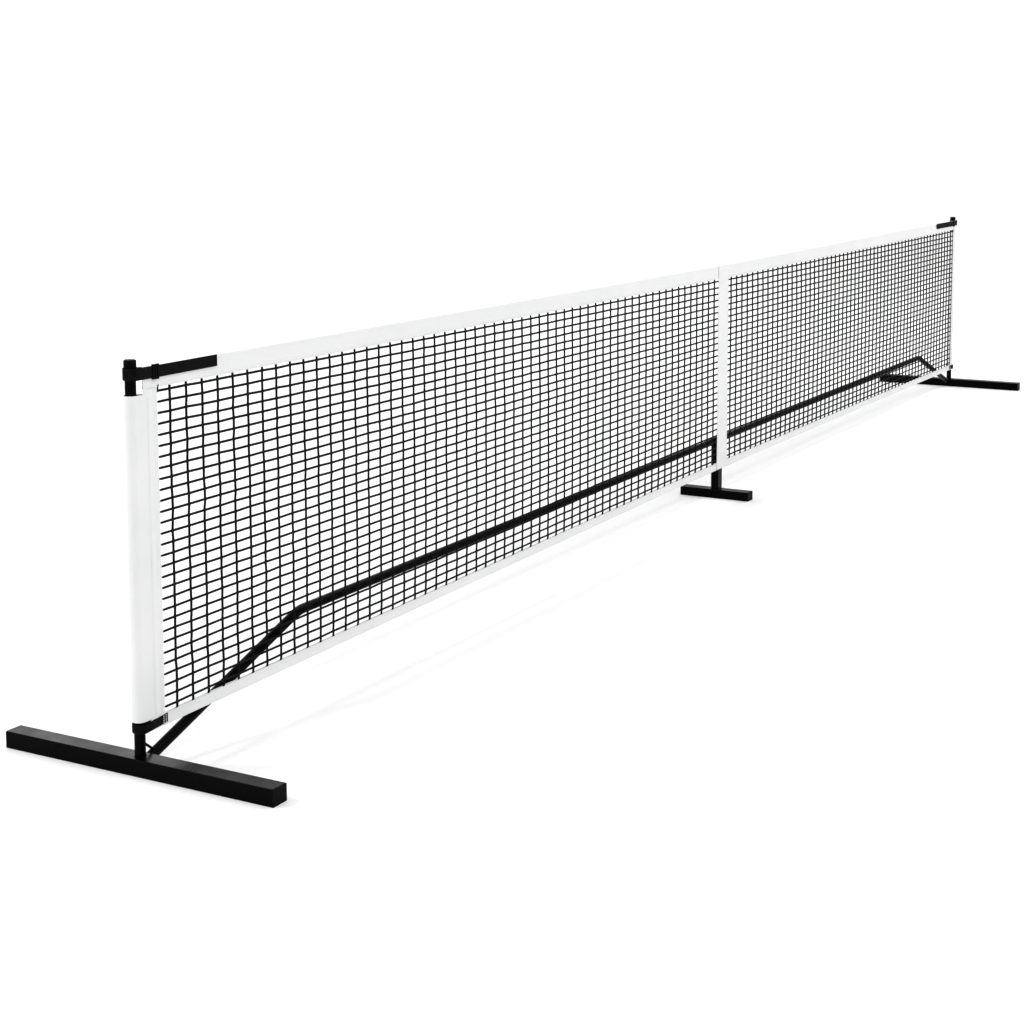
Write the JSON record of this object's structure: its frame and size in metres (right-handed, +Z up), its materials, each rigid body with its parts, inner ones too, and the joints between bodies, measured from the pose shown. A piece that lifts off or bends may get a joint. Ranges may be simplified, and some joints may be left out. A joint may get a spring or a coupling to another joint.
{
  "type": "pickleball portable net",
  "caption": "Free-standing portable net for pickleball: mesh net sleeved on end posts, with a low bent tube frame, wide bases and a centre foot.",
  "frame": {"origin": "on the floor, midway between the two posts, under the centre foot", "axes": "+X along the net, +Z up, +Y across the net, away from the side that the mesh hangs on"},
  "size_m": [6.756, 0.766, 0.932],
  "materials": {
    "frame_steel": "satin black powder coat on steel tube",
    "cap_plastic": "black moulded plastic",
    "pole_tip_rubber": "black rubber",
    "button_steel": "bright steel",
    "spring_steel": "spring steel",
    "mesh_cord": "black braided polyester cord",
    "white_tape": "white coated polyester tape",
    "black_webbing": "black woven webbing",
    "slider_plastic": "black moulded slider"
  },
  "bodies": {
    "frame": {"centre_coupler": "frame_steel", "centre_foot_bar": "frame_steel", "centre_foot_cap_back": "cap_plastic", "centre_foot_cap_front": "cap_plastic", "centre_pole_socket": "frame_steel", "centre_stub": "frame_steel", "left_base_bar": "frame_steel", "left_base_cap_back": "cap_plastic", "left_base_cap_front": "cap_plastic", "left_bend_spring": "spring_steel", "left_bent_rail": "frame_steel", "left_coupler_spring": "spring_steel", "left_gusset_rod": "frame_steel", "left_inner_rail": "frame_steel", "left_outer_rail": "frame_steel", "left_post_stub": "frame_steel", "left_rail_socket": "frame_steel", "left_rail_spring": "spring_steel", "left_socket_spring": "spring_steel", "right_base_bar": "frame_steel", "right_base_cap_back": "cap_plastic", "right_base_cap_front": "cap_plastic", "right_bend_spring": "spring_steel", "right_bent_rail": "frame_steel", "right_coupler_spring": "spring_steel", "right_gusset_rod": "frame_steel", "right_inner_rail": "frame_steel", "right_outer_rail": "frame_steel", "right_post_stub": "frame_steel", "right_rail_socket": "frame_steel", "right_rail_spring": "spring_steel", "right_socket_spring": "spring_steel"},
    "net": {"bottom_tape": "white_tape", "centre_strap": "white_tape", "left_bottom_strap": "black_webbing", "left_side_band": "white_tape", "left_top_strap": "black_webbing", "net_mesh": "mesh_cord", "pole_sleeve": "white_tape", "right_bottom_strap": "black_webbing", "right_side_band": "white_tape", "right_top_strap": "black_webbing", "top_tape": "white_tape"},
    "centre_pole": {"centre_pole": "frame_steel", "centre_pole_tip": "pole_tip_rubber"},
    "left_post": {"left_post": "frame_steel", "left_post_cap": "cap_plastic"},
    "left_slider": {"left_strap_slider": "slider_plastic"},
    "left_socket_button": {"left_socket_button": "button_steel"},
    "left_bend_button": {"left_bend_button": "button_steel"},
    "left_rail_button": {"left_rail_button": "button_steel"},
    "left_coupler_button": {"left_coupler_button": "button_steel"},
    "right_post": {"right_post": "frame_steel", "right_post_cap": "cap_plastic"},
    "right_slider": {"right_strap_slider": "slider_plastic"},
    "right_socket_button": {"right_socket_button": "button_steel"},
    "right_bend_button": {"right_bend_button": "button_steel"},
    "right_rail_button": {"right_rail_button": "button_steel"},
    "right_coupler_button": {"right_coupler_button": "button_steel"}
  },
  "joints": [
    {"name": "net_lift", "type": "slide", "parent": "frame", "child": "net", "axis": [0, 0, 1], "range_m": [0, 0.85]},
    {"name": "centre_pole_pull", "type": "slide", "parent": "frame", "child": "centre_pole", "axis": [0, 0, 1], "range_m": [0, 0.05]},
    {"name": "left_post_lift", "type": "slide", "parent": "frame", "child": "left_post", "axis": [0, 0, 1], "range_m": [0, 0.08]},
    {"name": "left_slider_slide", "type": "slide", "parent": "net", "child": "left_slider", "axis": [1, 0, 0], "range_m": [0, 0.16]},
    {"name": "left_socket_button_press", "type": "slide", "parent": "frame", "child": "left_socket_button", "axis": [0, -1, 0], "range_m": [0, 0.0042], "stiffness_N_per_m": 1500, "springref_m": -0.001, "deforming": ["left_socket_spring"]},
    {"name": "left_bend_button_press", "type": "slide", "parent": "frame", "child": "left_bend_button", "axis": [0, -1, 0], "range_m": [0, 0.0042], "stiffness_N_per_m": 1500, "springref_m": -0.001, "deforming": ["left_bend_spring"]},
    {"name": "left_rail_button_press", "type": "slide", "parent": "frame", "child": "left_rail_button", "axis": [0, -1, 0], "range_m": [0, 0.0042], "stiffness_N_per_m": 1500, "springref_m": -0.001, "deforming": ["left_rail_spring"]},
    {"name": "left_coupler_button_press", "type": "slide", "parent": "frame", "child": "left_coupler_button", "axis": [0, -1, 0], "range_m": [0, 0.0044], "stiffness_N_per_m": 1500, "springref_m": -0.001, "deforming": ["left_coupler_spring"]},
    {"name": "right_post_lift", "type": "slide", "parent": "frame", "child": "right_post", "axis": [0, 0, 1], "range_m": [0, 0.08]},
    {"name": "right_slider_slide", "type": "slide", "parent": "net", "child": "right_slider", "axis": [-1, 0, 0], "range_m": [0, 0.16]},
    {"name": "right_socket_button_press", "type": "slide", "parent": "frame", "child": "right_socket_button", "axis": [0, -1, 0], "range_m": [0, 0.0042], "stiffness_N_per_m": 1500, "springref_m": -0.001, "deforming": ["right_socket_spring"]},
    {"name": "right_bend_button_press", "type": "slide", "parent": "frame", "child": "right_bend_button", "axis": [0, -1, 0], "range_m": [0, 0.0042], "stiffness_N_per_m": 1500, "springref_m": -0.001, "deforming": ["right_bend_spring"]},
    {"name": "right_rail_button_press", "type": "slide", "parent": "frame", "child": "right_rail_button", "axis": [0, -1, 0], "range_m": [0, 0.0042], "stiffness_N_per_m": 1500, "springref_m": -0.001, "deforming": ["right_rail_spring"]},
    {"name": "right_coupler_button_press", "type": "slide", "parent": "frame", "child": "right_coupler_button", "axis": [0, -1, 0], "range_m": [0, 0.0044], "stiffness_N_per_m": 1500, "springref_m": -0.001, "deforming": ["right_coupler_spring"]}
  ]
}
